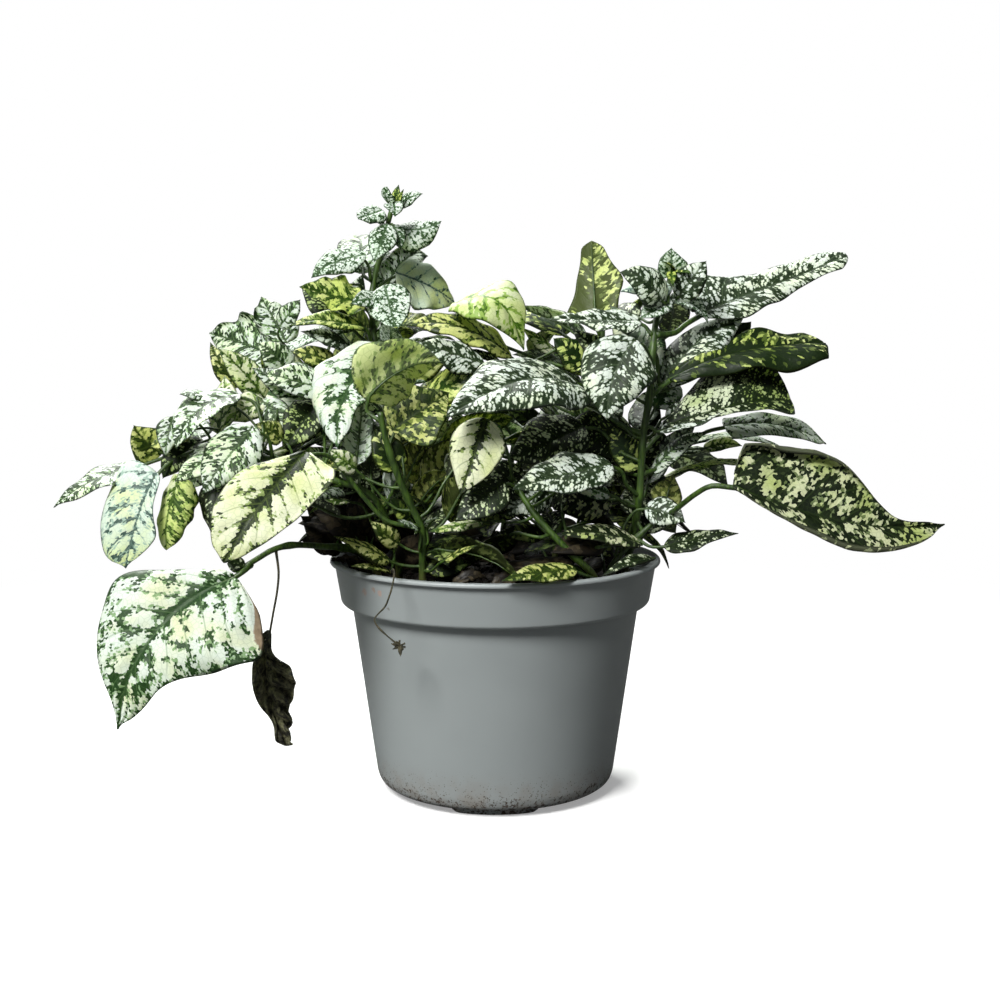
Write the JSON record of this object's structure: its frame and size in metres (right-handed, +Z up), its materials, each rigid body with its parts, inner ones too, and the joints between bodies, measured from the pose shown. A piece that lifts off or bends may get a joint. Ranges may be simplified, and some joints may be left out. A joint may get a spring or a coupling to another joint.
{
  "type": "potted polka dot plant",
  "caption": "Bushy potted houseplant with white, cream and dark green speckled leaves on branching stems, rooted in soil in a grey plastic nursery pot.",
  "frame": {"origin": "on the floor under the pot's axis, at the underside of the pot's feet", "axes": "+X to the viewer's right along the plant's longest spread, -Y towards the front, +Z up; the pot's feet face -Z"},
  "size_m": [0.3005, 0.163, 0.2134],
  "materials": {
    "pot_plastic": "satin",
    "soil": "matte",
    "stem_green": "satin",
    "leaf_white": "satin",
    "leaf_cream": "satin",
    "leaf_speckled": "satin",
    "leaf_dark": "satin",
    "leaf_lime": "satin",
    "leaf_olive": "satin",
    "dry_leaf": "matte"
  },
  "bodies": {
    "root": {"pot": "pot_plastic", "soil": "soil", "stem_centre": "stem_green", "stem_tall": "stem_green", "stem_right": "stem_green", "stem_front_right": "stem_green", "stem_left": "stem_green", "stem_low_left": "stem_green", "stem_low_right": "stem_green", "stem_back_left": "stem_green", "stem_back_mid": "stem_green", "stem_back_right": "stem_green", "stem_upper_right": "stem_green", "leaf_left_far": "leaf_white", "leaf_left_pale": "leaf_white", "leaf_left_folded": "leaf_cream", "leaf_left_upper": "leaf_white", "leaf_left_inner": "leaf_speckled", "leaf_left_hanging": "leaf_cream", "leaf_front_left": "leaf_cream", "leaf_low_left": "leaf_white", "leaf_left_shaded": "leaf_dark", "leaf_back_left_upper": "leaf_white", "leaf_back_left": "leaf_white", "leaf_tip_left": "leaf_speckled", "leaf_tip_right": "leaf_speckled", "leaf_tip_front": "leaf_speckled", "leaf_tip_round": "leaf_speckled", "leaf_shoot_heart": "leaf_speckled", "leaf_shoot_pale": "leaf_white", "leaf_lime_left": "leaf_lime", "leaf_centre_white": "leaf_white", "leaf_centre_lime": "leaf_lime", "leaf_centre_olive": "leaf_olive", "leaf_centre_speckled": "leaf_dark", "leaf_top_cream": "leaf_cream", "leaf_top_olive": "leaf_olive", "leaf_front_speckled": "leaf_speckled", "leaf_front_hanging": "leaf_cream", "leaf_inner_shaded": "leaf_dark", "leaf_front_dark": "leaf_dark", "leaf_front_low": "leaf_speckled", "leaf_right_upright": "leaf_lime", "leaf_right_reaching": "leaf_speckled", "leaf_right_hanging": "leaf_speckled", "leaf_right_top": "leaf_speckled", "leaf_right_olive": "leaf_olive", "leaf_right_green": "leaf_dark", "leaf_right_narrow": "leaf_speckled", "leaf_far_right": "leaf_dark", "leaf_right_low": "leaf_dark", "leaf_over_lip": "leaf_lime", "leaf_rear_high": "leaf_white", "leaf_rear_left": "leaf_speckled", "leaf_rear_right": "leaf_speckled", "leaf_side_right": "leaf_white", "leaf_side_left": "leaf_cream", "leaf_rear_far_left": "leaf_white", "dry_leaf": "dry_leaf", "tendril": "dry_leaf"}
  },
  "joints": []
}
